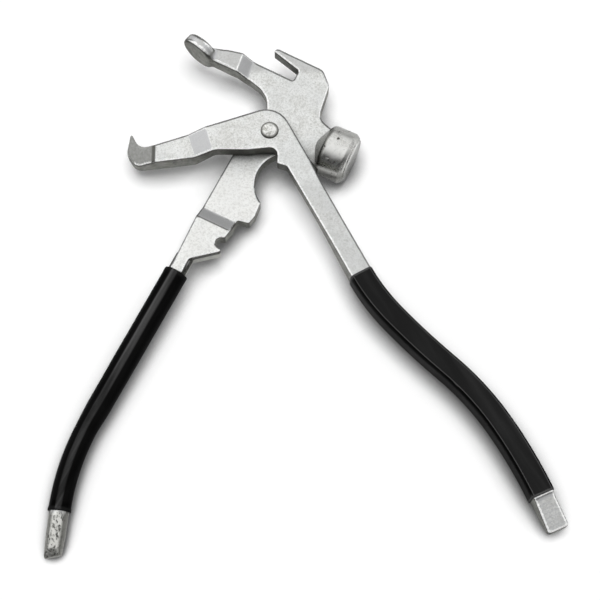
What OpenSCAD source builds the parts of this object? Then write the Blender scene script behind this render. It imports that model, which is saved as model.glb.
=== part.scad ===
// Wheel weight pliers, lying open with both levers in one plane.
// The origin is on the axis of the joint, half way between the two levers.
// +Z is the side of the rivet's domed head, and +Y points away from the handles.

/* [Joint] */
// Thickness of each lever where the two cross
plate_t = 6.5; // [5.5:0.1:8]
// Gap between the two levers at the joint
joint_gap = 0.3; // [0.2:0.05:0.5]
// Diameter of the rivet's shank
rivet_d = 5.6; // [4.6:0.1:6]
// Diameter of the rivet's domed head
rivet_head_d = 7; // [6.6:0.1:9]
// Height of the rivet's domed head
rivet_head_h = 1; // [0.7:0.1:1.5]
// Diameter of the head that is formed at the back
rivet_back_d = 9; // [7:0.1:11]
// Radial play of the hook lever on the rivet
rivet_play = 0.05; // [0.03:0.01:0.08]
// Play between each rivet head and the lever under it
head_play = 0.1; // [0.05:0.01:0.2]
// Half width of both levers round the rivet
boss_r = 9.6; // [8:0.1:11]

/* [Hook lever] */
// Direction of the hook's arm from the joint
arm_angle = 197.5; // [196:0.5:199]
// Distance along the arm from the joint to the back of the hook
hook_reach = 58.8; // [54:0.1:64]
// How far the hook's tip rises beside the arm's axis
hook_rise = 17.4; // [16.5:0.1:19]
// Depth of the arm just before the hook
arm_w = 8.4; // [7:0.1:9.5]
// Thickness of the hook jaw
hook_jaw_t = 8.6; // [7.5:0.1:10]
// Thickness left at the hook's ground tip
hook_tip_t = 4.4; // [3:0.1:6]
// Length of the slope that is ground on the hook
hook_grind = 10.8; // [8:0.1:12]
// Direction of the bar from the joint
bar_angle = -61.8; // [-63:0.1:-61]
// Width of the bar below the joint
bar_root_w = 9; // [8.2:0.1:9.6]
// Width of the bar at its grip
bar_w = 8.6; // [8:0.1:9.2]
// Thickness of the bar at its grip
bar_t = 11; // [9:0.1:12]
// Distance of the bar's middle line from the joint axis
bar_offset = 3.6; // [3.3:0.1:4]
// Width of the flat tip at its end
tip_w = 8.8; // [7:0.1:9.4]
// Thickness of the flat tip at its end
tip_t = 4; // [2:0.1:6]
// Length of the flat tip that shows below the grip
tip_len = 14.5; // [10:0.5:20]

/* [Hammer lever] */
// Height of the mid plane jaws' upper face
jaw_top = 3.75; // [3:0.05:4.5]
// Thickness of the round pad's jaw
pad_jaw_t = 7.5; // [6.5:0.1:8.5]
// Diameter of the round pad
pad_d = 16; // [14:0.5:18]
// Thickness of the round pad
pad_t = 4.6; // [4:0.1:6]
// Direction in which the pad's jaw points
pad_angle = 140.3; // [139:0.1:141]
// Distance along that direction from the joint to the pad's middle
pad_reach = 47.5; // [46:0.5:49]
// Distance of the pad's striking face from the joint axis
pad_face = 9.2; // [8.5:0.1:10]
// Radius of the concave cutter
cutter_r = 13.7; // [13:0.1:14.4]
// Direction in which the hammer strikes
hammer_angle = -25; // [-27:0.5:-23]
// Distance of the hammer's axis from the joint axis
hammer_offset = 5.8; // [4.4:0.1:6]
// Diameter of the hammer
hammer_d = 22; // [20:0.1:24]
// Distance along that direction from the joint to the striking face
hammer_reach = 34.8; // [33.5:0.1:37]
// Diameter of the raised striking face
hammer_face_d = 18.4; // [16:0.1:19.6]
// How far the striking face stands out of the hammer
hammer_face_h = 0.7; // [0.4:0.1:1.2]
// Length of the hammer's full round body
hammer_body_l = 9.6; // [8:0.1:10.5]
// Length of the hammer's coned back
hammer_cone_l = 6.2; // [5:0.1:7.5]
// Distance along that direction from the joint to the end of the lever's neck
neck_reach = 23.9; // [22.5:0.1:25]
// Fit between the hammer's slot and the lever
seat_fit = 0.02; // [0.01:0.01:0.04]
// Direction of the round handle from the joint
rod_angle = 242.3; // [241:0.1:243.5]
// Diameter of the round handle
rod_d = 7.8; // [7:0.1:9]
// Distance of the rod's middle line from the joint axis
rod_offset = 5.5; // [5:0.1:6]
// Length of the round handle that shows below the grip
rod_end_l = 19; // [16:0.5:26]

/* [Grips] */
// Distance from the joint to the top end of the square grip
grip_start = 71; // [68:0.5:76]
// Distance from the joint to the top end of the round grip
round_grip_start = 70; // [67:0.5:75]
// Wall of the grip on the round handle
round_grip_wall = 1.1; // [0.9:0.1:1.6]
// Wall of that grip where it is drawn tight round the bend
round_grip_thin = 0.5; // [0.4:0.1:0.9]
// Wall of the grip on the square bar
square_grip_wall = 0.7; // [0.5:0.05:1.2]
// Corner radius of the square grip
square_grip_r = 2; // [1:0.1:3]
// Length of the square grip along its bends
square_grip_l = 114; // [100:1:120]
// Fit between a grip and its handle
grip_fit = 0.02; // [0.01:0.01:0.04]
// Straight length of the round handle's grip
round_grip_l = 69; // [55:0.5:75]
// Radius of the round handle's bend
rod_bend_r = 98; // [80:1:140]
// Angle of the round handle's bend
rod_bend = 22; // [15:0.5:24]

/* [Hidden] */
$fn = 64;

// Levels of the two crossing plates
low = joint_gap / 2;
top = low + plate_t;
mid = low + plate_t / 2;
// Points on a rounded corner of an outline and of a turned or swept section
steps = 6;
few = 2;
// A size larger than any section, for cutting solids
far = 60;

// The square handle's bends, each a share of its grip's length and a turn in degrees
bar_bends = [[0.193, 14.5], [0.263, 5.5], [0.263, -15], [0.281, -9.5]];
bar_path = [for (b = bar_bends) [b[0] * square_grip_l, b[1]]];
// The round handle's run inside its grip
rod_path = [[round_grip_l, 0], [rod_bend_r * rod_bend * PI / 180, rod_bend]];

// Geometry helpers

function unit(v) = v / norm(v);
function dir(a) = [cos(a), sin(a)];
// The point that lies u along direction a and v to its right
function along(a, u, v) = u * dir(a) + v * dir(a - 90);
// Angle turned from direction a to direction b, between -180 and 180
function turn(a, b) = atan2(a[0] * b[1] - a[1] * b[0], a * b);
// Corner b of the path a, b, c, rounded with radius r in n pieces
function corner(a, b, c, r, n) =
    let(u = unit(a - b), v = unit(c - b), half = abs(turn(u, v)) / 2)
    r == 0 || half > 89.5 ? [b] :
    let(cut = r / tan(half), mid_c = b + unit(u + v) * r / sin(half),
        p = b + u * cut - mid_c, t = turn(p, b + v * cut - mid_c),
        a0 = atan2(p[1], p[0]))
    [for (i = [0:n]) mid_c + r * dir(a0 + t * i / n)];
// The point a share t of the way from a to b
function on_line(a, b, t) = a + (b - a) * t;
// Closed outline from points that each hold x, y and a corner radius
function rounded(p, pieces = steps) =
    let(n = len(p), xy = [for (q = p) [q[0], q[1]]])
    [for (i = [0:n - 1])
        for (q = corner(xy[(i + n - 1) % n], xy[i], xy[(i + 1) % n], p[i][2], pieces)) q];
// Where two lines meet, each given by its normal's direction and its distance
function meet(a1, d1, a2, d2) =
    [d1 * sin(a2) - d2 * sin(a1), d2 * cos(a1) - d1 * cos(a2)] / sin(a2 - a1);
// Adds a corner radius to a plain point
function r_at(p, r) = [p[0], p[1], r];

// Stands a side profile up so that its x runs along direction a in the plan
module side_profile(a) {
    rotate([0, 0, a]) rotate([90, 0, 0])
        translate([0, 0, -2 * far]) linear_extrude(4 * far) children();
}

// Where a path of straight runs and bends has got to: x, y and heading
function step_on(s, run) =
    run[1] == 0 ? [s[0] + run[0] * cos(s[2]), s[1] + run[0] * sin(s[2]), s[2]] :
    let(r = run[0] * 180 / PI / run[1], e = s[2] + run[1])
    [s[0] + r * (sin(e) - sin(s[2])), s[1] - r * (cos(e) - cos(s[2])), e];
function reach(s, path, i) = i == 0 ? s : step_on(reach(s, path, i - 1), path[i - 1]);

// Sweeps a section along a path of straight runs and bends in the plan, at height z.
// Each run reaches back into the one before, so its section is $slim smaller.
module follow(s, path, z = 0, over = 0) {
    for (i = [0:len(path) - 1]) {
        at = reach(s, path, i);
        run = path[i];
        back = i == 0 ? over : 0.4;
        ahead = i == len(path) - 1 ? over : 0;
        $slim = 0.02 * (i + 1);
        translate([at[0], at[1], z]) rotate([0, 0, at[2]])
            if (run[1] == 0) {
                translate([-back, 0, 0]) rotate([90, 0, 90])
                    linear_extrude(run[0] + back + ahead) children();
            } else {
                r = run[0] * 180 / PI / run[1];
                per_mm = abs(run[1]) / run[0];
                translate([0, r, 0]) rotate([0, 0, run[1] > 0 ? -90 : 90])
                    mirror([0, run[1] > 0 ? 0 : 1, 0]) rotate([0, 0, -back * per_mm])
                    rotate_extrude(angle = abs(run[1]) + (back + ahead) * per_mm, $fn = 180)
                    translate([abs(r), 0]) children();
            }
    }
}

// Hook lever

// Where the square handle starts to bend, level with the mouth of its grip
bar_in = along(bar_angle, grip_start, -bar_offset);
bar_start = [bar_in[0], bar_in[1], bar_angle];
bar_end = reach(bar_start, bar_path, len(bar_path));

// A point u along the hook's arm and v above its axis
function arm(u, v) = along(arm_angle, u, v);
// A point s down the bar and t to its right
function bar(s, t) = along(bar_angle, s, -t);

arm_top = boss_r + 0.6;
arm_low = arm_top - 0.9 - arm_w;
// The step beside the cutter, whose corner shears against the hammer lever
notch_x = 3.2;
step_y = -14.4;
// Where the arm and the bar start and end their slopes
arm_step = [24.5, 32.5];
bar_step = [42, 70];
// Level of the hook jaw's lower face
hook_jaw_low = jaw_top - hook_jaw_t;
// Middle height of the bar at its grip, where its upper face runs on flat
bar_mid = top - bar_t / 2;

// The bar's outer edge beside the joint
bar_out = bar_offset + bar_root_w / 2 + 0.4;

hook_outline = rounded([
    r_at(meet(arm_angle - 90, arm_top, bar_angle + 90, bar_out), boss_r + 0.4),
    r_at(arm(hook_reach - 11.2, arm_top - 0.8), 6),
    r_at(arm(hook_reach - 5.6, arm_top + 0.6), 5),
    r_at(arm(hook_reach - 4.6, hook_rise), 0.3),
    r_at(arm(hook_reach - 3.9, hook_rise + 0.2), 0.3),
    r_at(arm(hook_reach, arm_top + 0.3), 5),
    r_at(arm(hook_reach - 2, arm_low + 2.6), 4.5),
    r_at(arm(hook_reach - 10, arm_low + 1), 10),
    r_at(arm(arm_step[1], arm_low - 1.9), 20),
    r_at(arm(arm_step[0] - 1.5, arm_low - 2.4), 6),
    [-9, -8.5, 20],
    [notch_x + 0.2, -7.1, 3.2],
    [notch_x - 0.1, step_y, 0.4],
    r_at(bar(17.2, bar_offset - bar_root_w / 2 - 0.2), 0.6),
    r_at(bar(54, bar_offset - bar_w / 2), 60),
    r_at(bar(grip_start, bar_offset - bar_w / 2), 0),
    r_at(bar(grip_start, bar_offset + bar_w / 2), 0),
    r_at(bar(29, bar_offset + bar_w / 2), 20),
    r_at(bar(19, bar_out), 20)
]);

// What is cut off above the hook jaw: a step down to the mid plane, then the ground hook
module above_arm() {
    start = on_line([arm_step[0], top], [arm_step[1], jaw_top], -0.5);
    polygon([
        start, [arm_step[1], jaw_top], [hook_reach - hook_grind, jaw_top],
        [hook_reach, hook_jaw_low + hook_tip_t], [2 * far, hook_jaw_low + hook_tip_t],
        [2 * far, far], [start[0], far]
    ]);
}

// What is cut off below the plate, apart from the hook jaw and the bar
module below_hook_lever() {
    arm_start = on_line([arm_step[0], low], [arm_step[1], hook_jaw_low], -0.5);
    arm_end = on_line([arm_step[0], low], [arm_step[1], hook_jaw_low], 1.5);
    bar_start = on_line([bar_step[0], low], [bar_step[1], top - bar_t], -0.5);
    difference() {
        translate([-2 * far, -2 * far, -far]) cube([4 * far, 4 * far, far + low]);
        side_profile(arm_angle) polygon([
            arm_start, arm_end, [2 * far, arm_end[1]], [2 * far, arm_start[1]]
        ]);
        side_profile(bar_angle) polygon([
            bar_start, [bar_step[1], top - bar_t], [2 * far, top - bar_t],
            [2 * far, bar_start[1]]
        ]);
    }
}

module hook_lever() {
    color([0.8, 0.8, 0.79]) difference() {
        union() {
            difference() {
                translate([0, 0, hook_jaw_low]) linear_extrude(top - hook_jaw_low)
                    polygon(hook_outline);
                side_profile(arm_angle) above_arm();
                below_hook_lever();
            }
            follow(bar_start, bar_path, bar_mid, 0.4)
                square([bar_w - $slim, bar_t - $slim], center = true);
            flat_tip();
        }
        translate([0, 0, -far / 2]) cylinder(h = far, d = rivet_d + 2 * rivet_play);
    }
}

// The pry tip, ground thin from the end of the square handle
module flat_tip() {
    root_w = bar_w - 0.6;
    root_t = bar_t - 1.4;
    translate([bar_end[0], bar_end[1], bar_mid]) rotate([0, 0, bar_end[2]])
        intersection() {
            side_profile(0) polygon([
                [-3, -root_t / 2], [1, -root_t / 2], [tip_len, -tip_t / 2],
                [tip_len, tip_t / 2], [1, root_t / 2], [-3, root_t / 2]
            ]);
            translate([0, 0, -far / 2]) linear_extrude(far) polygon(rounded([
                [-3, -root_w / 2, 0], [0, -root_w / 2, 0], [tip_len, -tip_w / 2, 1.2],
                [tip_len, tip_w / 2, 1.2], [0, root_w / 2, 0], [-3, root_w / 2, 0]
            ]));
        }
}

// Hammer lever

// A point d along the pad's jaw and n out from the joint
function pad(d, n) = d * dir(pad_angle) + n * dir(pad_angle - 90);
// A point a along the hammer's axis and b above it
function hammer(a, b) = along(hammer_angle, a, -hammer_offset - b);

pad_back = pad_face + pad_t;
// Levels along the hammer's axis, from its point to its face
hammer_rim = 1.6;
hammer_shoulder = hammer_reach - hammer_face_h;
hammer_body = hammer_shoulder - hammer_rim - hammer_body_l;
hammer_back = hammer_body - hammer_cone_l;
// How far the neck reaches below and above that axis
neck = [-9.3, 8];
cutter_mid = [7.5, -21];

// The round handle's path, from where the plate ends to its tip
rod_in = along(rod_angle, round_grip_start, rod_offset);
rod_start = [rod_in[0], rod_in[1], rod_angle];
rod_out = reach(rod_start, rod_path, len(rod_path));

// The jaw's inner edge, the back of the joint and the toothed side of the handle
jaw_edge = rounded([
    r_at(pad(pad_reach + 3, pad_face + 1), 0),
    r_at(pad(pad_reach - 5, pad_face + 1), 3),
    [-23.4, 32.6, 4], [-15.4, 28.7, 8], [-8.6, 25.7, 6], [-3.8, 21.6, 8], [-1.3, 17, 8],
    [-1.3, boss_r + 0.4, 1.8], [-6, boss_r + 0.4, 3],
    [-27.6, -31.6, 40],
    r_at(along(rod_angle, round_grip_start - 0.4, rod_offset + 2.6), 0),
    r_at(along(rod_angle, round_grip_start - 0.4, rod_offset - 2.6), 0),
    [-32.4, -54.6, 1], [-20.2, -51.7, 0.3], [-19.3, -50.9, 0.3],
    [-22, -48.2, 0.8], [-21.4, -46.3, 1], [-19.8, -45.5, 0.4],
    [-18, -45.7, 0.5], [-15.1, -41.8, 3], [-13.1, -36.8, 0.4],
    [-8.4, -38.1, 1], [-5.8, -34.8, 0], [-2.5, -26.2, 0]
]);

// The hammer's neck, the claw and the outer edge of the pad's jaw
claw_edge = rounded([
    r_at(hammer(neck_reach, neck[0]), 0),
    r_at(hammer(neck_reach, neck[1]), 0),
    r_at(hammer(neck_reach - 1.2, neck[1]), 1),
    [20.2, 8.5, 5], [24.8, 23, 5.5], [22.2, 30.5, 4.5],
    [3.2, 40.4, 0.9], [1.3, 39.2, 0.5], [12, 30.2, 0.6], [9.6, 25.6, 0.6],
    [-6.4, 34, 6], [-11.5, 36.5, 5], [-17, 37.8, 6], [-23.8, 38.8, 2],
    r_at(pad(pad_reach + 3, pad_back - 0.6), 0)
]);

// Direction and distances of the step up to the pad's jaw
pad_step_angle = 161;
pad_step = [17.7, 22.6];
// Direction and distances of the step up to the handle
rod_step_angle = 243.6;
rod_step = [40.1, 45.4];
// Level of the raised jaw's and the handle's lower face
raised_low = jaw_top - pad_jaw_t;

// What is kept above the plate beyond a step up to the mid plane
module raised(angle, step) {
    start = on_line([step[0], -low], [step[1], jaw_top], -0.5);
    end = on_line([step[0], -low], [step[1], jaw_top], 1.5);
    side_profile(angle)
        polygon([start, end, [2 * far, end[1]], [2 * far, start[1]]]);
}

// What is cut off below the plate beyond that step
module below_raised(angle, step) {
    start = on_line([step[0], -top], [step[1], raised_low], -0.5);
    side_profile(angle) polygon([
        start, [step[1], raised_low], [2 * far, raised_low], [2 * far, -far], [start[0], -far]
    ]);
}

// Round pad that stands across the end of its jaw
module pad_disc() {
    at = pad(pad_reach, pad_face);
    edge = 0.8;
    translate([at[0], at[1], 0]) rotate([0, 0, pad_angle - 90]) rotate([0, 90, 0])
        rotate_extrude() polygon(rounded([
            [0, 0, 0], [pad_d / 2, 0, edge], [pad_d / 2, pad_t, edge], [0, pad_t, 0]
        ], few));
}

// Round handle: a shoulder that grows out of the plate, the bend and the tip
module rod() {
    translate([rod_in[0], rod_in[1], 0]) rotate([0, 0, rod_angle]) rotate([0, 90, 0]) {
        translate([0, 0, -17]) cylinder(h = 10, r1 = 1.8, d2 = rod_d);
        translate([0, 0, -7]) cylinder(h = 7 + rod_path[0][0], d = rod_d);
    }
    follow(rod_start, rod_path) circle(d = rod_d - $slim);
    translate([rod_out[0], rod_out[1], 0]) rotate([0, 0, rod_out[2]]) rod_tip();
}

// The rod's end, slightly drawn down and ground at a slant
module rod_tip() {
    d = rod_d - 0.1;
    intersection() {
        rotate([0, 90, 0]) rotate_extrude() polygon(rounded([
            [0, -0.4, 0], [d / 2, -0.4, 0], [d / 2, rod_end_l * 0.5, 20],
            [d / 2 - 0.5, rod_end_l, 1.6], [0, rod_end_l, 0]
        ], few));
        side_profile(0) polygon([
            [-1, -d], [rod_end_l + 1, -d], [rod_end_l + 1, 0],
            [rod_end_l - 5, d / 2], [-1, d]
        ]);
        translate([0, 0, -far / 2]) linear_extrude(far) polygon([
            [-1, -d], [rod_end_l + 1, -d], [rod_end_l - 3.6, d], [-1, d]
        ]);
    }
}

module hammer_lever() {
    color([0.78, 0.78, 0.77]) difference() {
        union() {
            difference() {
                translate([0, 0, -top]) linear_extrude(top + jaw_top)
                    polygon(concat(jaw_edge, claw_edge));
                translate([cutter_mid[0], cutter_mid[1], -far])
                    cylinder(h = 2 * far, r = cutter_r);
                difference() {
                    translate([-2 * far, -2 * far, -low]) cube([4 * far, 4 * far, far]);
                    raised(pad_step_angle, pad_step);
                    raised(rod_step_angle, rod_step);
                }
                below_raised(pad_step_angle, pad_step);
                below_raised(rod_step_angle, rod_step);
            }
            pad_disc();
            rod();
        }
        translate([0, 0, -far / 2]) cylinder(h = far, d = rivet_d + 2 * seat_fit);
    }
}

// Hammer head: a turned drum whose coned back is slotted over the lever's edge
module hammer_head() {
    r = hammer_d / 2;
    edge = 0.2;
    color([0.72, 0.72, 0.71]) translate([0, 0, -mid]) difference() {
        rotate([0, 0, hammer_angle]) translate([0, hammer_offset, 0]) rotate([0, 90, 0])
            rotate_extrude() polygon(rounded([
                [0, hammer_back, 0], [r, hammer_body, 2],
                [r, hammer_shoulder - hammer_rim, 0],
                [r - 1.1, hammer_shoulder, 0], [hammer_face_d / 2, hammer_shoulder, 0],
                [hammer_face_d / 2, hammer_reach - edge, 0],
                [hammer_face_d / 2 - edge, hammer_reach, 0], [0, hammer_reach, 0]
            ], few));
        rotate([0, 0, hammer_angle])
            translate([0, -far / 2, -plate_t / 2 - seat_fit])
            cube([neck_reach + seat_fit, far, plate_t + 2 * seat_fit]);
    }
}

// Rivet: a shank with a domed head in front and a formed head at the back
module pivot_rivet() {
    front = top + head_play;
    back = -top - head_play;
    color([0.83, 0.83, 0.81]) {
        translate([0, 0, back]) cylinder(h = front - back, d = rivet_d);
        translate([0, 0, front]) dome(rivet_head_d, rivet_head_h);
        translate([0, 0, back]) mirror([0, 0, 1]) dome(rivet_back_d, rivet_head_h);
    }
}

// A low dome with a short upright rim
module dome(d, h) {
    rim = 0.3;
    ball = (d * d / 4 + (h - rim) * (h - rim)) / (2 * (h - rim));
    arc = [for (x = [d / 2, d / 3, d / 6, 0]) [x, h - ball + sqrt(ball * ball - x * x)]];
    rotate_extrude() polygon(concat([[0, 0], [d / 2, 0]], arc));
}

// Grips

module hook_lever_grip() {
    w = bar_w + 2 * square_grip_wall;
    t = bar_t + 2 * square_grip_wall;
    r = square_grip_r;
    fit = 2 * grip_fit;
    color([0.06, 0.06, 0.06]) difference() {
        follow(bar_start, bar_path, bar_mid) polygon(rounded([
            for (c = [[-1, -1], [1, -1], [1, 1], [-1, 1]])
                [c[0] * (w - $slim) / 2, c[1] * (t - $slim) / 2, r]
        ], few));
        follow(bar_start, bar_path, bar_mid, 1)
            square([bar_w + fit - $slim, bar_t + fit - $slim], center = true);
    }
}

module hammer_lever_grip() {
    lip = 0.2;
    end_d = rod_d + 2 * round_grip_thin;
    color([0.05, 0.05, 0.05]) difference() {
        union() {
            follow(rod_start, [rod_path[0]]) circle(d = rod_d + 2 * round_grip_wall);
            follow(rod_start, rod_path)
                circle(d = $slim > 0.03 ? end_d : rod_d + 2 * round_grip_wall - 0.1);
            translate([rod_out[0], rod_out[1], 0]) rotate([0, 0, rod_out[2]])
                rotate([0, -90, 0]) translate([0, 0, -0.05]) cylinder(h = 1.2, d = end_d + 2 * lip);
        }
        follow(rod_start, rod_path, 0, 1) circle(d = rod_d + 2 * grip_fit - $slim);
    }
}

hook_lever();
hammer_lever();
hammer_head();
pivot_rivet();
hook_lever_grip();
hammer_lever_grip();
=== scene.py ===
import math

import bmesh
import bpy
import numpy as np
from mathutils import Matrix, Vector
from mathutils import noise as mnoise


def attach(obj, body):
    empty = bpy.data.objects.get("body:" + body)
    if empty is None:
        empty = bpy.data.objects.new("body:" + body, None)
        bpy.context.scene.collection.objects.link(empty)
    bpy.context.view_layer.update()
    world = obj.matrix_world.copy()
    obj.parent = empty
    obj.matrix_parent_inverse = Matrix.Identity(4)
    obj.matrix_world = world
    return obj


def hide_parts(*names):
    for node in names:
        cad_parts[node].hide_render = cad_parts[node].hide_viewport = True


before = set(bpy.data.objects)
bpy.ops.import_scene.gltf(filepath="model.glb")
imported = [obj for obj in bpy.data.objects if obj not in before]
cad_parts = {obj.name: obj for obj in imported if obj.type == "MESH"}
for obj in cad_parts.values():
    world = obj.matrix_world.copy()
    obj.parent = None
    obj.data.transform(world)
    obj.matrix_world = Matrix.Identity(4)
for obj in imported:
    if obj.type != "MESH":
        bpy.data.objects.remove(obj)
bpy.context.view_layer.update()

# Lengths below are in millimetres, and the scene is in metres
MM = 0.001

# Camera

# The camera looks down on the tool, as steeply as the photograph does
ELEVATION = math.radians(72.6)
FOCAL_PX = 1600.0
IMAGE_PX = 600
SENSOR_MM = 36
CLIP_M = (0.01, 50)
# The rivet's domed head, its pixel in the photograph and the scale there, in pixels a millimetre
RIVET_TOP = Vector((0, 0, 7.3))
RIVET_PX = (269.6, 129.6)
SCALE_PX = 2.44


def link(ob):
    """Puts a new object into the scene."""
    bpy.context.scene.collection.objects.link(ob)
    return ob


def photo_camera():
    """A camera that sees the rivet at its pixel, and the tool at its scale."""
    right = Vector((1, 0, 0))
    look = Vector((0, math.cos(ELEVATION), -math.sin(ELEVATION)))
    up = right.cross(look)
    aside = (RIVET_PX[0] - IMAGE_PX / 2) / FOCAL_PX
    below = (RIVET_PX[1] - IMAGE_PX / 2) / FOCAL_PX
    place = RIVET_TOP - FOCAL_PX / SCALE_PX * (look + aside * right - below * up)
    data = bpy.data.cameras.new("camera")
    data.sensor_width = SENSOR_MM
    data.lens = FOCAL_PX / IMAGE_PX * SENSOR_MM
    data.clip_start, data.clip_end = CLIP_M
    ob = link(bpy.data.objects.new("camera", data))
    turn = Matrix((right, up, -look)).transposed().to_4x4()
    ob.matrix_world = Matrix.Translation(place * MM) @ turn
    return ob


bpy.context.scene.camera = photo_camera()

# Meshes

# Part of each step that a smoothing round takes
SMOOTH_STEP = 0.5
# Points of the CAD mesh closer than this, in metres, are one point
WELD_M = 1e-7


def final_mesh(ob):
    """The object with its modifiers applied."""
    bpy.context.view_layer.update()
    dg = bpy.context.evaluated_depsgraph_get()
    me = bpy.data.meshes.new_from_object(ob.evaluated_get(dg))
    ob.modifiers.clear()
    old = ob.data
    ob.data = me
    if old.users == 0:
        bpy.data.meshes.remove(old)
    return ob


def shade_smooth(ob):
    """Shades all of an object's faces as one smooth surface."""
    ob.data.polygons.foreach_set("use_smooth", [True] * len(ob.data.polygons))
    ob.data.update()
    return ob


def soften(ob, name, rounds):
    """Adds rounds of smoothing, and gives back the modifier."""
    smooth = ob.modifiers.new(name, "SMOOTH")
    smooth.factor = SMOOTH_STEP
    smooth.iterations = rounds
    return smooth


def cad_copy(node, name):
    """A copy of a CAD node's mesh with its points joined."""
    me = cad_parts[node].data.copy()
    me.materials.clear()
    bm = bmesh.new()
    bm.from_mesh(me)
    bmesh.ops.remove_doubles(bm, verts=bm.verts, dist=WELD_M)
    bm.to_mesh(me)
    bm.free()
    return link(bpy.data.objects.new(name, me))


def flow_together(ob, centre, radius, rounds=50):
    """Within a radius of a place, the surfaces run into each other more softly."""
    middle = Vector(centre) * MM
    reach = radius * MM
    group = ob.vertex_groups.new(name="flow")
    for v in ob.data.vertices:
        weight = 1.0 - (v.co - middle).length / reach
        if weight > 0:
            group.add([v.index], min(1.0, 2 * weight), "REPLACE")
    soften(ob, "flow", rounds).vertex_group = group.name
    return final_mesh(ob)


def forged(node, name, voxel, rounds, sag=0):
    """A copy of a CAD node with softly rounded edges, as forging and blasting leave them.

    The sag rounds move points up or down only: slopes blend, and the outline stays.
    """
    ob = cad_copy(node, name)
    remesh = ob.modifiers.new("remesh", "REMESH")
    remesh.mode = "VOXEL"
    remesh.voxel_size = voxel * MM
    remesh.adaptivity = 0
    soften(ob, "soften", rounds)
    if sag:
        blend = soften(ob, "blend", sag)
        blend.use_x = blend.use_y = False
    return shade_smooth(final_mesh(ob))


# Shader nodes


class Nodes:
    """Short names for building a node tree."""

    def __init__(self, tree):
        self.tree = tree

    def add(self, kind, **props):
        """A new node with some of its properties set."""
        n = self.tree.nodes.new(kind)
        for k, v in props.items():
            setattr(n, k, v)
        return n

    def put(self, socket, value):
        """Links a node's output to a socket, or sets the socket to a plain value."""
        if isinstance(value, bpy.types.NodeSocket):
            self.tree.links.new(value, socket)
        else:
            socket.default_value = value

    def noise(self, size_mm, detail=3.0, rough=0.55, stretch=(1, 1, 1), coord=None, warp=0.0):
        """Noise with features of about a size, in object space where coord isn't given."""
        m = self.add("ShaderNodeMapping")
        self.put(m.inputs["Vector"], coord or self.coord)
        m.inputs["Scale"].default_value = stretch
        n = self.add("ShaderNodeTexNoise")
        self.put(n.inputs["Vector"], m.outputs[0])
        n.inputs["Scale"].default_value = 1.0 / (size_mm * MM)
        n.inputs["Detail"].default_value = detail
        n.inputs["Roughness"].default_value = rough
        n.inputs["Distortion"].default_value = warp
        return n.outputs["Fac"]

    def ramp(self, value, lo, hi, a=0.0, b=1.0):
        """Smooth change from a to b as the value goes from lo to hi, or down to a lower hi."""
        n = self.add("ShaderNodeMapRange", interpolation_type="SMOOTHSTEP")
        self.put(n.inputs["Value"], value)
        n.inputs["From Min"].default_value = lo
        n.inputs["From Max"].default_value = hi
        n.inputs["To Min"].default_value = a
        n.inputs["To Max"].default_value = b
        return n.outputs["Result"]

    def span(self, value, start, end, a=0.0, b=1.0):
        """The same for a place along an axis, with start and end in millimetres."""
        return self.ramp(value, start * MM, end * MM, a, b)

    def math(self, op, *values):
        """One step of arithmetic, named as Blender names it."""
        n = self.add("ShaderNodeMath", operation=op)
        for socket, value in zip(n.inputs, values):
            self.put(socket, value)
        return n.outputs[0]

    def product(self, first, *others):
        """All values multiplied with each other."""
        for other in others:
            first = self.math("MULTIPLY", first, other)
        return first

    def mix(self, fac, a, b):
        """Colour a where the factor is 0, and b where it is 1."""
        n = self.add("ShaderNodeMix", data_type="RGBA", clamp_factor=True)
        factor, from_colour, to_colour = n.inputs[0], n.inputs[6], n.inputs[7]
        self.put(factor, fac)
        self.put(from_colour, a)
        self.put(to_colour, b)
        return n.outputs[2]

    def split(self, vector):
        """The X, Y and Z of a vector."""
        n = self.add("ShaderNodeSeparateXYZ")
        self.put(n.inputs[0], vector)
        return n.outputs

    def bump(self, height, dist_mm, strength=1.0, before=None):
        """Normals bent by a height, on top of those that an earlier bump gave."""
        n = self.add("ShaderNodeBump")
        n.inputs["Strength"].default_value = strength
        n.inputs["Distance"].default_value = dist_mm * MM
        self.put(n.inputs["Height"], height)
        if before is not None:
            self.put(n.inputs["Normal"], before)
        return n.outputs[0]

    def toward(self, vector, direction):
        """Cosine of the angle between a vector and a fixed direction."""
        n = self.add("ShaderNodeVectorMath", operation="DOT_PRODUCT")
        self.put(n.inputs[0], vector)
        n.inputs[1].default_value = Vector(direction).normalized()
        return n.outputs["Value"]


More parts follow.
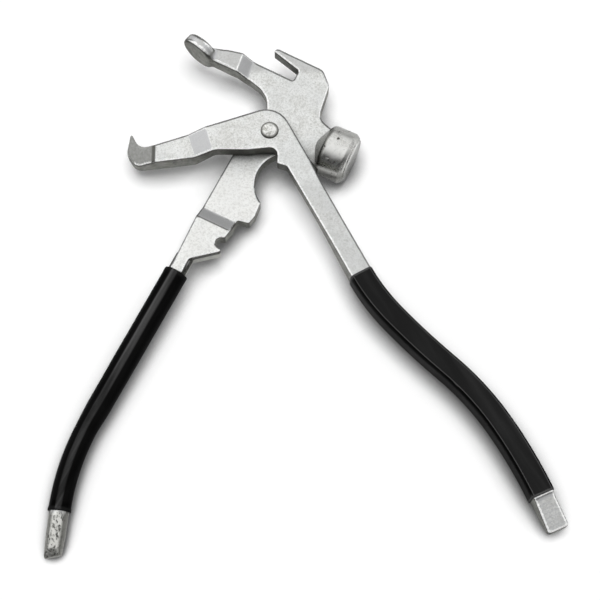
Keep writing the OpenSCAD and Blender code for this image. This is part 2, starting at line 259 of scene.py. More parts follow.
class Material(Nodes):
    """A new material with its surface shader and object coordinates at hand."""

    def __init__(self, name):
        self.mat = bpy.data.materials.new(name)
        self.mat.use_nodes = True
        super().__init__(self.mat.node_tree)
        self.bsdf = self.tree.nodes["Principled BSDF"]
        place = self.add("ShaderNodeTexCoord").outputs
        self.coord, self.facing = place["Object"], place["Normal"]
        self.x, self.y, self.z = self.split(self.coord)

    def set(self, **values):
        """Fills sockets of the surface shader, and gives back the material."""
        for k, v in values.items():
            self.put(self.bsdf.inputs[k.replace("_", " ")], v)
        return self.mat

    def upright(self):
        """How far a surface faces up or down, from 0 on walls to 1 on level faces."""
        return self.math("ABSOLUTE", self.split(self.facing)[2])

    def pointiness(self):
        """Above 0.5 on edges, and below it in hollows."""
        return self.add("ShaderNodeNewGeometry").outputs["Pointiness"]

    def from_axis(self):
        """Distance from the rivet's axis."""
        squares = self.math("ADD", self.product(self.x, self.x), self.product(self.y, self.y))
        return self.math("SQRT", squares)

    def turned_coord(self, angle, origin=(0, 0, 0)):
        """Coordinates from an origin, with X along a heading in radians."""
        m = self.add("ShaderNodeMapping", vector_type="TEXTURE")
        self.put(m.inputs["Vector"], self.coord)
        m.inputs["Location"].default_value = Vector(origin) * MM
        m.inputs["Rotation"].default_value = (0, 0, angle)
        return m.outputs[0]

    def gap_shade(self, colour, reach):
        """Painted shade: darkens a colour in narrow gaps, where other surfaces are close."""
        ao = self.add("ShaderNodeAmbientOcclusion", samples=8)
        ao.inputs["Distance"].default_value = reach * MM
        return self.mix(self.ramp(ao.outputs["AO"], 0.75, 0.3, 0.0, 0.93), colour, PAINTED_SHADE)


def rgb(r, g=None, b=None):
    """A colour in linear light, or a grey where one number is given."""
    return (r, g if g is not None else r, b if b is not None else r, 1.0)


# Dark colour of painted shade and painted shadows
PAINTED_SHADE = rgb(0.05, 0.05, 0.045)

# Blasted forgings

# Noises of the blasted surface, as the size of their features
FINE, GRAIN, SPOTS, CLOUD, TINT = 0.5, 1.0, 1.8, 4.5, 22.0
# How upright a surface's normal is where walls start and are full, and the same for the rest
WALL_LIMITS = (0.72, 0.58)
GENTLE_LIMITS = (0.72, 0.78)
# Radius of the painted highlight next to edges that face the handles
HIGHLIGHT_RADIUS = 1.2
# Reach of the painted shade in gaps between the levers, and in the hammer's grooves
LEVER_GAP_SHADE = 7.0
DRUM_GAP_SHADE = 3.0
# The hook's nearer edge takes a painted highlight on this side of a Y
NEAR_EDGE = -10.0

FACE = rgb(0.6, 0.602, 0.578)
FACE_CLOUD = rgb(0.76, 0.77, 0.758)
FACE_GRAIN = rgb(0.88, 0.885, 0.872)
FACE_PITS = rgb(0.44, 0.442, 0.42)
FACE_SPOTS = rgb(0.36, 0.355, 0.32)
FACE_TINT = rgb(0.66, 0.68, 0.685)
FACE_DIM = rgb(0.42)
HANDLED = rgb(0.96, 0.96, 0.94)
HANDLED_GRAIN = rgb(0.55, 0.55, 0.53)
# Slopes: a ground finish, painted darker grey as shade
GROUND_AND_SHADE = (rgb(0.5, 0.504, 0.508), rgb(0.58, 0.584, 0.59))
# The hook's ground tip, painted darker as shade
GROUND_TIP_SHADE = (rgb(0.26, 0.262, 0.25), rgb(0.34, 0.342, 0.33))
# Painted shade in hollows and in the crease before the hook's tip
CREASE_SHADE = rgb(0.12, 0.12, 0.11)
# Walls, painted dark as shade
WALL_SHADE = (rgb(0.14, 0.142, 0.128), rgb(0.27, 0.272, 0.25))
WALL_SPOTS = rgb(0.08, 0.08, 0.07)
# Painted shading of the two trimmed cuts: dark at the top, pale below
TRIMMED_TOP_SHADE = rgb(0.04, 0.04, 0.035)
TRIMMED_LIT = rgb(0.46, 0.46, 0.435)
TRIMMED_GRAIN = rgb(0.2, 0.2, 0.185)
# Painted shade on edges that face away
FAR_EDGE_SHADE = rgb(0.09, 0.09, 0.085)
# Painted highlight on edges that face the handles
EDGE_HIGHLIGHT = rgb(1.0, 1.0, 0.985)
# WORN_SIDE_SHADE is painted shade on the sides of the worn end
WORN, WORN_PITS, WORN_SIDE_SHADE = rgb(0.62, 0.62, 0.59), rgb(0.11, 0.11, 0.1), rgb(0.2, 0.2, 0.185)


class BlastedSteel(Material):
    """Shot blasted forging: pale mottled faces, ground slopes painted grey as shade, walls
    painted dark as shade, painted shade in hollows and on edges that face away, and a
    painted highlight on edges that face the handles.

    dim, handle, shade_ground_tip, shade_joint and shade_trimmed_wall change one of these,
    and are used before blend lays them over each other. ring and wear_and_shade_end cover
    all, after blend.
    """

    def __init__(self, name, ramps=()):
        """ramps holds the normals of flat slopes, which take no painted edge highlight or shade."""
        super().__init__(name)
        self.up = self.upright()
        self.toward_back = self.split(self.facing)[1]
        self.point = self.pointiness()
        self.fine = self.noise(FINE, 3.0, 0.7)
        self.grain = self.noise(GRAIN, 3.0, 0.65, warp=0.3)
        self.cloud = self.noise(CLOUD, 4.0, 0.62, warp=0.5)
        self.spots = self.noise(SPOTS, 2.0, 0.5)
        self.gentle = self.ramp(self.up, *GENTLE_LIMITS)
        self.wall = self.ramp(self.up, *WALL_LIMITS)
        ragged = self.math("MULTIPLY_ADD", self.grain, 0.03, self.up)
        self.slope = self.product(self.ramp(ragged, 0.998, 0.985), self.gentle)
        self.make_edges(ramps)
        self.make_face()
        self.make_side()
        self.on_top = []

    def make_edges(self, ramps):
        """A painted highlight on edges that face the handles, and painted shade on those that face
        away.
        """
        flat = 0.0
        for ramp in ramps:
            flat = self.math("MAXIMUM", flat, self.ramp(self.toward(self.facing, ramp), 0.985, 0.995))
        corner = self.product(self.math("SUBTRACT", 1.0, flat), self.ramp(self.point, 0.504, 0.512))
        turning = self.product(self.ramp(self.up, 0.6, 0.75), self.ramp(self.up, 0.995, 0.97))
        near = self.ramp(self.toward_back, 0.12, -0.06)
        edge = self.product(turning, corner, near)
        broken = self.ramp(self.grain, 0.36, 0.56, 0.3, 1.0)
        edge = self.math("MAXIMUM", edge, self.product(self.near_edge_highlight(), broken))
        self.edge = self.product(edge, self.ramp(self.grain, 0.35, 0.55, 0.5, 0.95))
        self.far = self.product(corner, self.ramp(self.toward_back, 0.05, 0.2, 0.0, 0.9))
        self.hollow = self.ramp(self.point, 0.49, 0.44)

    def near_edge_highlight(self):
        """Painted highlight: the strip of a face next to an edge that faces the handles."""
        bevel = self.add("ShaderNodeBevel", samples=6)
        bevel.inputs["Radius"].default_value = HIGHLIGHT_RADIUS * MM
        lean = self.add("ShaderNodeVectorTransform", vector_type="NORMAL",
                        convert_from="WORLD", convert_to="OBJECT")
        self.put(lean.inputs[0], bevel.outputs[0])
        nearing = self.math("SUBTRACT", self.toward_back, self.split(lean.outputs[0])[1])
        return self.product(self.ramp(nearing, 0.04, 0.16), self.ramp(self.up, 0.7, 0.78))

    def make_face(self):
        """Level faces: clouded and grained, with pits, spots and a wide tint."""
        wide = self.noise(TINT, 2.0, 0.5)
        face = self.mix(self.ramp(self.cloud, 0.34, 0.66), FACE, FACE_CLOUD)
        face = self.mix(self.ramp(self.grain, 0.36, 0.64, 0.0, 0.6), face, FACE_GRAIN)
        face = self.mix(self.ramp(self.fine, 0.5, 0.34, 0.0, 0.62), face, FACE_PITS)
        face = self.mix(self.ramp(self.spots, 0.34, 0.27, 0.0, 0.5), face, FACE_SPOTS)
        self.face = self.mix(self.ramp(wide, 0.4, 0.62, 0.0, 0.3), face, FACE_TINT)

    def make_side(self):
        """Walls: painted dark as shade, clouded and spotted, and painted darkest along their edges as
        shade.
        """
        rim = self.product(self.wall, self.ramp(self.point, 0.503, 0.52))
        side = self.mix(self.ramp(self.cloud, 0.3, 0.7), *WALL_SHADE)
        side = self.mix(self.ramp(self.spots, 0.4, 0.3, 0.0, 0.6), side, WALL_SPOTS)
        self.side = self.mix(self.product(rim, 0.75), side, PAINTED_SHADE)

    def dim(self, start, end, amount):
        """Duller faces from one Y to another and beyond."""
        self.face = self.mix(self.span(self.y, start, end, 0.0, amount), self.face, FACE_DIM)

    def handle(self, start, end):
        """Faces are specked, and grow brighter from one Y to another, towards the hand."""
        self.face = self.mix(self.span(self.y, start, end, 0.0, 0.45), self.face, HANDLED)
        self.face = self.mix(self.ramp(self.grain, 0.5, 0.36, 0.0, 0.3), self.face, HANDLED_GRAIN)

    def shade_ground_tip(self, start):
        """The hook's ground tip beyond an X is painted darker as shade, after a painted dark crease
        line, with a painted highlight along its nearer edge.
        """
        tip = self.span(self.x, start + 0.6, start)
        # Painted shade on the ground tip, and a painted dark crease line before it
        dull = self.mix(self.ramp(self.grain, 0.3, 0.7), *GROUND_TIP_SHADE)
        dull = self.mix(self.span(self.x, start - 1.6, start - 0.8), dull, CREASE_SHADE)
        self.on_top.append((self.product(tip, self.gentle), dull))
        # A painted highlight streak along the tip's nearer edge
        lengthwise = self.product(self.span(self.x, start - 9.0, start - 8.0),
                                  self.span(self.x, start - 1.0, start - 2.0))
        streak = self.product(lengthwise, self.span(self.y, NEAR_EDGE + 0.5, NEAR_EDGE - 0.5))
        self.edge = self.product(self.edge, self.mix(tip, rgb(1.0), streak))
        self.far = self.product(self.far, self.math("SUBTRACT", 1.0, tip))

    def shade_joint(self, outside, inside):
        """Painted shade: walls get darker towards the rivet, from one radius to a smaller one."""
        near_rivet = self.span(self.from_axis(), outside, inside, 0.0, 0.6)
        self.side = self.mix(near_rivet, self.side, PAINTED_SHADE)

    def shade_trimmed_wall(self, start):
        """The walls beyond a Y were trimmed in two cuts, with their shading painted: dark at the top
        and pale below.
        """
        trimmed = self.mix(self.span(self.z, 1.1, 0.4), TRIMMED_TOP_SHADE, TRIMMED_LIT)
        trimmed = self.mix(self.ramp(self.grain, 0.55, 0.35, 0.0, 0.5), trimmed, TRIMMED_GRAIN)
        self.side = self.mix(self.span(self.y, start + 0.8, start - 0.8), self.side, trimmed)

    def blend(self):
        """Lays faces, slopes, walls and edges over each other."""
        # Slopes are ground, and painted darker grey as shade
        ground = self.mix(self.ramp(self.fine, 0.3, 0.7), *GROUND_AND_SHADE)
        colour = self.mix(self.slope, self.face, ground)
        for mask, overlay in self.on_top:
            colour = self.mix(mask, colour, overlay)
        # Walls take their colour, painted dark as shade
        colour = self.mix(self.wall, colour, self.side)
        # Painted shade on edges that face away, and a painted highlight on those that face the handles
        colour = self.mix(self.far, colour, FAR_EDGE_SHADE)
        colour = self.mix(self.edge, colour, EDGE_HIGHLIGHT)
        # Painted shade in hollows
        self.colour = self.mix(self.product(self.hollow, 0.3), colour, CREASE_SHADE)
        # Less metal under the painted highlight, so that its colour shows
        self.metal = self.ramp(self.edge, 0.0, 1.0, 0.9, 0.35)
        rough = self.math("ADD", self.ramp(self.fine, 0.3, 0.7, 0.44, 0.6),
                          self.ramp(self.wall, 0.0, 1.0, 0.0, 0.06))
        rough = self.math("SUBTRACT", rough, self.product(self.slope, 0.08))
        self.rough = self.math("SUBTRACT", rough, self.product(self.edge, 0.14))
        height = self.math("ADD", self.product(self.fine, 0.5), self.product(self.spots, 0.5))
        height = self.product(height, self.ramp(self.slope, 0.0, 1.0, 1.0, 0.35))
        self.bumped = self.bump(height, 0.05, 0.9)

    def ring(self, radius):
        """A painted shadow: a dark line round the rivet's head."""
        line = self.span(self.from_axis(), radius + 0.35, radius + 0.05, 0.0, 0.9)
        self.colour = self.mix(line, self.colour, PAINTED_SHADE)

    def wear_and_shade_end(self, start):
        """The handle's bare end beyond a Y is worn smooth and pitted, with painted shade on its sides.
        """
        end = self.span(self.y, start + 1.0, start - 2.0)
        pit = self.noise(1.5, 4.0, 0.7, stretch=(1, 0.6, 1), warp=0.6)
        worn = self.mix(self.ramp(pit, 0.49, 0.4), WORN, WORN_PITS)
        # Painted shade on the end's sides
        worn = self.mix(self.ramp(self.up, 0.93, 0.7), worn, WORN_SIDE_SHADE)
        self.colour = self.mix(end, self.colour, worn)
        self.metal = self.math("MAXIMUM", self.metal, end)
        self.rough = self.mix(end, self.rough, self.ramp(pit, 0.35, 0.6, 0.42, 0.26))
        dents = self.product(end, self.ramp(pit, 0.35, 0.5))
        self.bumped = self.bump(dents, 0.22, 0.9, self.bumped)

    def done(self):
        """The finished material."""
        # Painted shade darkens the colour in the gaps between the levers
        return self.set(Base_Color=self.gap_shade(self.colour, LEVER_GAP_SHADE), Metallic=self.metal,
                        Roughness=self.rough, Normal=self.bumped)


def hook_lever_steel():
    """The hook's lever: a ground tip with painted shade and highlight, and painted shade round the
    rivet and in the joint.
    """
    n = BlastedSteel("hook_lever_steel")
    n.dim(start=-18.0, end=-30.0, amount=0.3)
    n.shade_ground_tip(start=-47.2)
    n.shade_joint(outside=27.0, inside=15.0)
    n.blend()
    n.ring(radius=3.5)
    return n.done()


def hammer_lever_steel():
    """The hammer's lever: a dim jaw, a handled stem with a trimmed wall in painted shading, and a worn
    end with painted shade on its sides.
    """
    n = BlastedSteel("hammer_lever_steel", ramps=((0.59, -0.205, 0.78), (0.262, 0.527, 0.81)))
    n.dim(start=28.0, end=31.0, amount=0.5)
    n.handle(start=-8.0, end=-22.0)
    n.shade_trimmed_wall(start=-49.6)
    n.blend()
    n.wear_and_shade_end(start=-156.5)
    return n.done()


# Turned hammer

# The hammer's heading in degrees, its offset from the rivet's axis and its level
HAMMER_ANGLE = -25
HAMMER_OFFSET = 5.8
HAMMER_LEVEL = -3.4
# Where its scaled back, and the painted shade on its underside and its further side, start and are full
DRUM_BACK = (24.4, 23.2)
DRUM_UNDER = (7.5, 2.5)
DRUM_BEYOND = (3.5, 8.5)

DRUM = (rgb(0.46, 0.46, 0.44), rgb(0.74, 0.74, 0.72))
DRUM_FINE = rgb(0.8, 0.8, 0.78)
# Scale on the back, and painted shade on the underside
DRUM_SCALE_AND_SHADE = rgb(0.11, 0.11, 0.1)
# Painted shade on the further side
DRUM_FAR_SHADE = rgb(0.16, 0.16, 0.15)
DRUM_PITS = rgb(0.1, 0.095, 0.09)
DRUM_RIM = rgb(0.92, 0.92, 0.9)
# Painted shade in grooves
DRUM_GROOVE_SHADE = rgb(0.08, 0.08, 0.075)


def turned_steel(name):
    """Turned and blasted hammer: fine rings round its axis, a scaled, darker back, and painted shade on
    its underside, its further side and in its grooves.
    """
    n = Material(name)
    angle = math.radians(HAMMER_ANGLE)
    across = Vector((-math.sin(angle), math.cos(angle), 0))
    along = n.turned_coord(angle, across * HAMMER_OFFSET + Vector((0, 0, HAMMER_LEVEL)))
    ahead, aside, above = n.split(along)
    rings = n.noise(6.0, 3.0, 0.6, stretch=(22, 1.2, 1.2), coord=along)
    fine = n.noise(0.8, 4.0, 0.65)
    cloud = n.noise(4.0, 4.0, 0.6, warp=0.5)
    pits = n.noise(2.6, 1.5, 0.4)
    point = n.pointiness()
    colour = n.mix(n.ramp(cloud, 0.3, 0.7), *DRUM)
    colour = n.mix(n.ramp(fine, 0.36, 0.64, 0.0, 0.5), colour, DRUM_FINE)
    back = n.span(ahead, *DRUM_BACK, 0.0, 0.85)
    under = n.span(above, *DRUM_UNDER, 0.0, 0.88)
    beyond = n.span(aside, *DRUM_BEYOND, 0.0, 0.72)
    # Scale on the back, and painted shade on the underside
    colour = n.mix(n.math("MAXIMUM", back, under), colour, DRUM_SCALE_AND_SHADE)
    # Painted shade on the further side
    colour = n.mix(beyond, colour, DRUM_FAR_SHADE)
    colour = n.mix(n.ramp(pits, 0.31, 0.25), colour, DRUM_PITS)
    colour = n.mix(n.ramp(point, 0.52, 0.58, 0.0, 0.25), colour, DRUM_RIM)
    # Painted shade in grooves
    colour = n.mix(n.ramp(point, 0.49, 0.45, 0.0, 0.5), colour, DRUM_GROOVE_SHADE)
    rough = n.ramp(cloud, 0.25, 0.75, 0.22, 0.36)
    height = n.math("ADD", n.product(rings, 0.5), n.product(fine, 0.6))
    bumped = n.bump(height, 0.04, 0.8)
    bumped = n.bump(n.ramp(pits, 0.25, 0.32), 0.15, 0.8, bumped)
    # Painted shade darkens the colour in the hammer's grooves and next to the lever
    return n.set(Base_Color=n.gap_shade(colour, DRUM_GAP_SHADE), Metallic=1.0, Roughness=rough, Normal=bumped)


# Rivet

RIVET = (rgb(0.3, 0.3, 0.27), rgb(0.84, 0.84, 0.82))
RIVET_FINE = rgb(0.9, 0.9, 0.88)
# Painted shade round the head's rim
RIVET_RIM_SHADE = rgb(0.15, 0.15, 0.135)
# Radii where the painted shade round the head's rim starts and is full
RIM_RADII = (2.3, 3.3)


def rivet_steel(name):
    """Hammered head: bright and uneven, with painted shade round its rim."""
    n = Material(name)
    fine = n.noise(0.5, 4.0, 0.6)
    cloud = n.noise(2.6, 3.0, 0.6, warp=0.5)
    colour = n.mix(n.ramp(cloud, 0.36, 0.6), *RIVET)
    colour = n.mix(n.ramp(fine, 0.35, 0.7, 0.0, 0.5), colour, RIVET_FINE)
    colour = n.mix(n.span(n.from_axis(), *RIM_RADII, 0.0, 0.9), colour, RIVET_RIM_SHADE)
    rough = n.ramp(fine, 0.3, 0.7, 0.3, 0.45)
    bumped = n.bump(n.math("ADD", n.product(cloud, 2.0), fine), 0.12, 0.9)
    return n.set(Base_Color=colour, Metallic=0.95, Roughness=rough, Normal=bumped)


# Vinyl sleeves


def sleeve_vinyl(name, lengthwise, shine, dull, flank, drag, scuff):
    """Glossy black vinyl with drag marks along its length and scuffed ridges.

    Its gloss is a painted sheen: high where it faces up, low round the shoulders, and a
    little higher again on the flanks. shine holds how upright a surface is where the sheen
    starts and is full, and its gloss; dull and flank are the gloss of the other two.
    lengthwise is the marks' heading in degrees, drag is how far they vary the sheen, and
    scuff is how pale the ridges are.
    """
    n = Material(name)
    up = n.upright()
    side = n.ramp(up, 0.6, 0.25)
    fine = n.noise(0.7, 3.0, 0.6)
    along = n.turned_coord(math.radians(lengthwise))
    streak = n.noise(5.0, 4.0, 0.6, stretch=(0.08, 1, 1), coord=along, warp=0.2)
    smear = n.noise(14.0, 3.0, 0.5)
    colour = n.mix(n.ramp(streak, 0.35, 0.7), rgb(0.001), rgb(0.003))
    colour = n.mix(n.ramp(n.pointiness(), 0.506, 0.52, 0.0, 0.9), colour, rgb(scuff))
    rough = n.math("ADD", n.ramp(smear, 0.3, 0.7, 0.08, 0.16), n.ramp(fine, 0.3, 0.7, 0.0, 0.05))
    rough = n.math("MULTIPLY_ADD", side, 0.45, rough)
    # A painted sheen, set by how far the surface faces up and broken by the drag marks
    shine_from, shine_full, sheen_gloss = shine
    painted_sheen = n.product(n.ramp(up, shine_from, shine_full, dull, sheen_gloss),
                       n.ramp(streak, 0.38, 0.62, 1.0 - drag, 1.0 + drag))
    gloss = n.math("ADD", painted_sheen, n.ramp(up, 0.4, 0.1, 0.0, flank))
    bumped = n.bump(n.math("ADD", smear, n.product(fine, 0.12)), 0.12, 0.5)
    return n.set(Base_Color=colour, Roughness=rough, Normal=bumped, Specular_IOR_Level=gloss,
                 Metallic=0.0, IOR=1.5)


steel_hook = hook_lever_steel()
steel_hammer = hammer_lever_steel()
steel_turned = turned_steel("hammer_steel")
steel_rivet = rivet_steel("rivet_steel")

# Levers, hammer and rivet

# Voxel size, rounds of smoothing, and for the levers also the sag rounds
LEVER_MESH = (0.36, 5, 16)
DRUM_MESH = (0.24, 3)
RIVET_MESH = (0.14, 3)
# The neck of the pad's jaw, just short of the pad, and how far round it the surfaces flow together
PAD_NECK = (-23.5, 30.5, 2.5)
PAD_NECK_RADIUS = 9.0

hook = forged("hook_lever", "hook_lever_forging", *LEVER_MESH)
hook.data.materials.append(steel_hook)
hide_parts("hook_lever")
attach(hook, "hook_side")

lever = forged("hammer_lever", "hammer_lever_forging", *LEVER_MESH)
shade_smooth(flow_together(lever, PAD_NECK, PAD_NECK_RADIUS))
lever.data.materials.append(steel_hammer)
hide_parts("hammer_lever")
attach(lever, "hammer_side")

drum = forged("hammer_head", "hammer_drum", *DRUM_MESH)
drum.data.materials.append(steel_turned)
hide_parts("hammer_head")
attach(drum, "hammer_side")

rivet = forged("pivot_rivet", "rivet", *RIVET_MESH)
rivet.data.materials.append(steel_rivet)
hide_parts("pivot_rivet")
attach(rivet, "hammer_side")

# Sleeves

# Round that turns the outside over into the bore at each mouth
LIP = 0.35
# Depths of the bore's first rings behind each mouth, and of the ring that its inside starts from
BORE_RINGS = (0.15, 1.5)
BORE_START = 2.0
# Size of the swellings along a sleeve
SWELL_SIZE = 9.0


def heading(a):
    """The level direction at an angle, in degrees from +X towards +Y."""
    return Vector((math.cos(math.radians(a)), math.sin(math.radians(a)), 0))


def beside(angle, along, left):
    """A point along a heading and to its left, from the rivet's axis."""
    return heading(angle) * along + heading(angle + 90) * left


def walk(start, angle, runs, step=1.0):
    """Places, headings and lengths gone along a path of straight runs and bends."""
    at, a, gone = Vector(start), angle, 0.0
    out = [(at.copy(), a, gone)]
    for length, bend in runs:
        n = max(1, round(length / step))
        for _ in range(n):
            at = at + heading(a + bend / n / 2) * (length / n)
            a += bend / n
            gone += length / n
            out.append((at.copy(), a, gone))
    return out


def skin(bm, rings):
    """Faces between closed rings, each to the next and the last to the first."""
    for r0, r1 in zip(rings, rings[1:] + rings[:1]):
        for i in range(len(r0)):
            j = (i + 1) % len(r0)
            bm.faces.new((r0[i], r0[j], r1[j], r1[i]))
    bmesh.ops.recalc_face_normals(bm, faces=bm.faces)


def tube(name, path, outer, inner, wobble, seed):
    """A sleeve with thickness along a path.

    inner gives the bore's closed section at a length along the path, and outer the same
    for the outside, cut back by an amount. wobble is how far the outside swells and
    shrinks, as a share of its size, and seed moves the swellings.
    """
    total = path[-1][2]
    first, first_angle, _ = path[0]
    last, last_angle, _ = path[-1]
    bm = bmesh.new()

    def ring(p, a, pts):
        """The points of a section, set up across the path at a place."""
        side = heading(a + 90)
        return [bm.verts.new((p + side * x + Vector((0, 0, z))) * MM) for x, z in pts]

    def after_start(s, pts):
        """A ring at a length behind the first mouth."""
        return ring(first + heading(first_angle) * s, first_angle, pts)

    def before_end(s, pts):
        """A ring at a length before the last mouth."""
        return ring(last - heading(last_angle) * s, last_angle, pts)

    def swell(p, pts):
        """A section, swollen or shrunk a little."""
        out = []
        for x, z in pts:
            q = Vector((p.x + x, p.y, p.z + z)) / SWELL_SIZE + Vector((seed, 0, 0))
            k = 1.0 + wobble * mnoise.noise(q)
            out.append((x * k, z * k))
        return out

    mouth = [(0.0, LIP), (LIP * 0.3, LIP * 0.3), (LIP, 0.0)]
    rings = [after_start(s, inner(s)) for s in reversed(BORE_RINGS)]
    rings += [after_start(s, outer(s, cut)) for s, cut in mouth]
    rings += [ring(p, a, swell(p, outer(s, 0.0))) for p, a, s in path[1:-1] if LIP < s < total - LIP]
    rings += [before_end(s, outer(total - s, cut)) for s, cut in reversed(mouth)]
    rings += [before_end(s, inner(total - s)) for s in BORE_RINGS]
    rings += [ring(p, a, inner(s)) for p, a, s in reversed(path) if BORE_START < s < total - BORE_START]
    skin(bm, rings)
    me = bpy.data.meshes.new(name)
    bm.to_mesh(me)
    bm.free()
    return shade_smooth(link(bpy.data.objects.new(name, me)))


def ease(s, points):
    """A smooth value along the length, through (length, value) points."""
    xs, ys = zip(*points)
    i = int(np.searchsorted(xs, s))
    if i <= 0:
        return ys[0]
    if i >= len(xs):
        return ys[-1]
    t = (s - xs[i - 1]) / (xs[i] - xs[i - 1])
    t = t * t * (3 - 2 * t)
    return ys[i - 1] + (ys[i] - ys[i - 1]) * t


def circle(r, n=48):
    """A round section, as n points."""
    turn = 2 * math.pi / n
    return [(r * math.cos(turn * i), r * math.sin(turn * i)) for i in range(n)]


# The round handle: its heading, where its sleeve starts, its offset, straight run and bend
ROD_ANGLE = 242.3
ROD_START = 70
ROD_OFFSET = 5.5
ROD_STRAIGHT = 69
ROD_BEND_RADIUS = 98
ROD_BEND = 22
# Its sleeve's bore, and the outside at the loose top, round the bend and at the rolled end
ROUND_BORE = 7.86
ROUND_TOP, ROUND_TIGHT, ROUND_END = 9.98, 8.7, 9.16

rod_runs = [(ROD_STRAIGHT, 0), (ROD_BEND_RADIUS * math.radians(ROD_BEND), ROD_BEND)]
rod_path = walk(beside(ROD_ANGLE, ROD_START, -ROD_OFFSET), ROD_ANGLE, rod_runs)
rod_len = rod_path[-1][2]
round_sizes = [
    (0, ROUND_TOP), (4, 9.9), (35, 9.82), (62, 9.6), (74, 8.78), (rod_len - 3, ROUND_TIGHT),
    (rod_len - 1.3, 8.72), (rod_len - 0.9, ROUND_END), (rod_len, ROUND_END)]
round_sleeve = tube(
    "round_sleeve", rod_path,
    lambda s, cut: circle(ease(s, round_sizes) / 2 - cut),
    lambda _: circle(ROUND_BORE / 2), wobble=0.006, seed=3.0)
round_sleeve.data.materials.append(sleeve_vinyl(
    "round_sleeve_vinyl", ROD_ANGLE, (0.94, 0.998, 0.42), dull=0.008, flank=0.02, drag=0.6, scuff=0.01))
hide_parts("hammer_lever_grip")
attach(round_sleeve, "hammer_side")

# The moulded ridge along both upper corners of the square sleeve: height, width and where it stands
RIDGE_HEIGHT = 0.12
RIDGE_WIDTH = 0.09
RIDGE_AT = (1.1, math.pi - 1.1)


def soft_square(w, t, power, n=96):
    """A box section with crowned sides, and a thin moulded ridge along both upper corners."""
    def bent(v):
        """A cosine or sine, pushed out towards the box's sides."""
        return math.copysign(abs(v) ** (2 / power), v)

    pts = []
    for i in range(n):
        a = 2 * math.pi * i / n
        ridge = RIDGE_HEIGHT * sum(math.exp(-((a - b) / RIDGE_WIDTH) ** 2) for b in RIDGE_AT)
        pts.append((w / 2 * bent(math.cos(a)), t / 2 * bent(math.sin(a)) + ridge))
    return pts


# The square handle: its heading, where its sleeve starts, its offset, size and level
BAR_ANGLE = -61.8
BAR_START = 71
BAR_OFFSET = 3.6
BAR_WIDTH, BAR_THICKNESS = 8.6, 11
BAR_TOP = 6.65
BAR_MIDDLE = BAR_TOP - BAR_THICKNESS / 2
# Its bends, each a share of its sleeve's length and a turn in degrees
BAR_SLEEVE_LENGTH = 114
BAR_BENDS = [(0.193, 14.5), (0.263, 5.5), (0.263, -15), (0.281, -9.5)]
# Its sleeve's wall, the play of its bore, and the powers that flatten the sides of the two
SQUARE_WALL, SQUARE_PLAY = 0.68, 0.06
SQUARE_POWER, BORE_POWER = 5.5, 14.0
# The sleeve's drag marks run along this heading
BAR_MARKS = -58


def square_outside(cut):
    """The sleeve's outside, cut back by an amount."""
    grow = 2 * (SQUARE_WALL - cut)
    return soft_square(BAR_WIDTH + grow, BAR_THICKNESS + grow, SQUARE_POWER)


def square_bore():
    """The sleeve's bore, with its play on the bar."""
    return soft_square(BAR_WIDTH + SQUARE_PLAY, BAR_THICKNESS + SQUARE_PLAY, BORE_POWER)


bar_in = beside(BAR_ANGLE, BAR_START, BAR_OFFSET) + Vector((0, 0, BAR_MIDDLE))
bar_path = walk(bar_in, BAR_ANGLE, [(share * BAR_SLEEVE_LENGTH, bend) for share, bend in BAR_BENDS])
square_sleeve = tube(
    "square_sleeve", bar_path,
    lambda _, cut: square_outside(cut),
    lambda _: square_bore(), wobble=0.004, seed=8.0)
square_sleeve.data.materials.append(sleeve_vinyl(
    "square_sleeve_vinyl", BAR_MARKS, (0.93, 0.985, 0.2), dull=0.012, flank=0.04, drag=0.2, scuff=0.06))
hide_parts("hook_lever_grip")
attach(square_sleeve, "hook_side")

# Floor

# The tool rests on its hammer and on the ends of both handles
RESTS = [Vector((28.7, -7.2, -14.6)), Vector((-83.5, -174.0, -3.9)), Vector((106.5, -165.0, -5.1))]
FLOOR_HALF = 4000
# The floor darkens where less of its sky is open within this distance
CONTACT_REACH = 16


def floor_mesh():
    """A large square through the three points that the tool rests on."""
    normal = (RESTS[1] - RESTS[0]).cross(RESTS[2] - RESTS[0]).normalized()
    if normal.z < 0:
        normal = -normal
    across = Vector((1, 0, 0)) - normal * normal.x
    across.normalize()
    along = normal.cross(across)
    bm = bmesh.new()
    corners = [RESTS[0] + across * (FLOOR_HALF * i) + along * (FLOOR_HALF * j)
               for i, j in ((-1, -1), (1, -1), (1, 1), (-1, 1))]
    bm.faces.new([bm.verts.new(c * MM) for c in corners])
    me = bpy.data.meshes.new("floor")
    bm.to_mesh(me)
    bm.free()
    return me


def floor_white():
    """Matt white that stays white round the tool, and dark in the contact shadow."""
    n = Material("floor_white")
    path = n.add("ShaderNodeLightPath").outputs
    mirrored = n.math("MAXIMUM", path["Is Glossy Ray"], path["Is Transmission Ray"])
    seen = n.math("MAXIMUM", path["Is Camera Ray"], mirrored)
    open_sky = n.add("ShaderNodeAmbientOcclusion", samples=16)
    open_sky.inputs["Distance"].default_value = CONTACT_REACH * MM
    contact = n.ramp(open_sky.outputs["AO"], 0.4, 0.83, 0.05, 1.0)
    return n.set(Base_Color=n.mix(contact, rgb(0.0), rgb(0.93)), Roughness=0.9, Specular_IOR_Level=0.0,
                 Emission_Color=rgb(1.0), Emission_Strength=n.product(seen, 0.09))


floor = link(bpy.data.objects.new("floor", floor_mesh()))
floor.data.materials.append(floor_white())

# Light


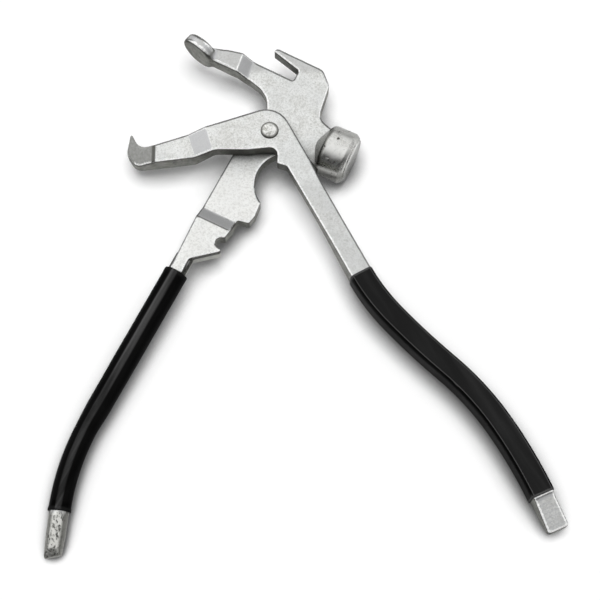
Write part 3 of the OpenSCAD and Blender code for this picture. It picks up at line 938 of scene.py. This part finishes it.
def studio_world():
    """What steel and vinyl mirror, a level fill for matt surfaces, and white for the camera.

    Steel and vinyl see a bright ceiling that darkens towards the walls of the studio, a
    softbox, a backdrop behind the tool and a dim glow low on the walls and below.
    """
    world = bpy.data.worlds.new("studio")
    world.use_nodes = True
    w = Nodes(world.node_tree)
    way = w.add("ShaderNodeTexCoord").outputs["Generated"]
    aside, behind, above = w.split(way)
    overhead = w.math("MULTIPLY_ADD", w.math("POWER", aside, 2.0), 0.4, w.toward(way, (0, 0.45, 0.89)))
    ceiling = w.ramp(overhead, 0.4, 0.88, 0.06, 1.05)
    softbox = w.ramp(w.toward(way, (-0.5, 0.57, 0.65)), 0.95, 0.98, 0.0, 1.2)
    backdrop = w.ramp(behind, 0.6, 0.95, 0.0, 0.3)
    horizon = w.ramp(above, 0.5, 0.2, 0.0, 0.3)
    studio = w.math("MAXIMUM", w.math("MAXIMUM", ceiling, backdrop), horizon)
    studio = w.math("ADD", studio, softbox)
    path = w.add("ShaderNodeLightPath").outputs
    mirrored = w.math("MAXIMUM", path["Is Glossy Ray"], path["Is Transmission Ray"])
    light = w.mix(mirrored, rgb(0.24), studio)
    light = w.mix(path["Is Camera Ray"], light, rgb(1.0))
    background = w.tree.nodes["Background"]
    w.put(background.inputs["Color"], light)
    background.inputs["Strength"].default_value = 1.0
    return world


def sun(name, azimuth, elevation, spread, strength):
    """A soft lamp far away; azimuth is where it stands, from +X towards +Y."""
    data = bpy.data.lights.new(name, "SUN")
    data.energy = strength
    data.angle = math.radians(spread)
    ob = link(bpy.data.objects.new(name, data))
    a, e = math.radians(azimuth), math.radians(elevation)
    to = Vector((math.cos(a) * math.cos(e), math.sin(a) * math.cos(e), math.sin(e)))
    ob.rotation_mode = "QUATERNION"
    ob.rotation_quaternion = to.to_track_quat("Z", "Y")
    return ob


bpy.context.scene.world = studio_world()
key = sun("key", azimuth=92, elevation=87, spread=40, strength=2.5)
key.visible_glossy = False

view = bpy.context.scene.view_settings
view.view_transform = "Standard"
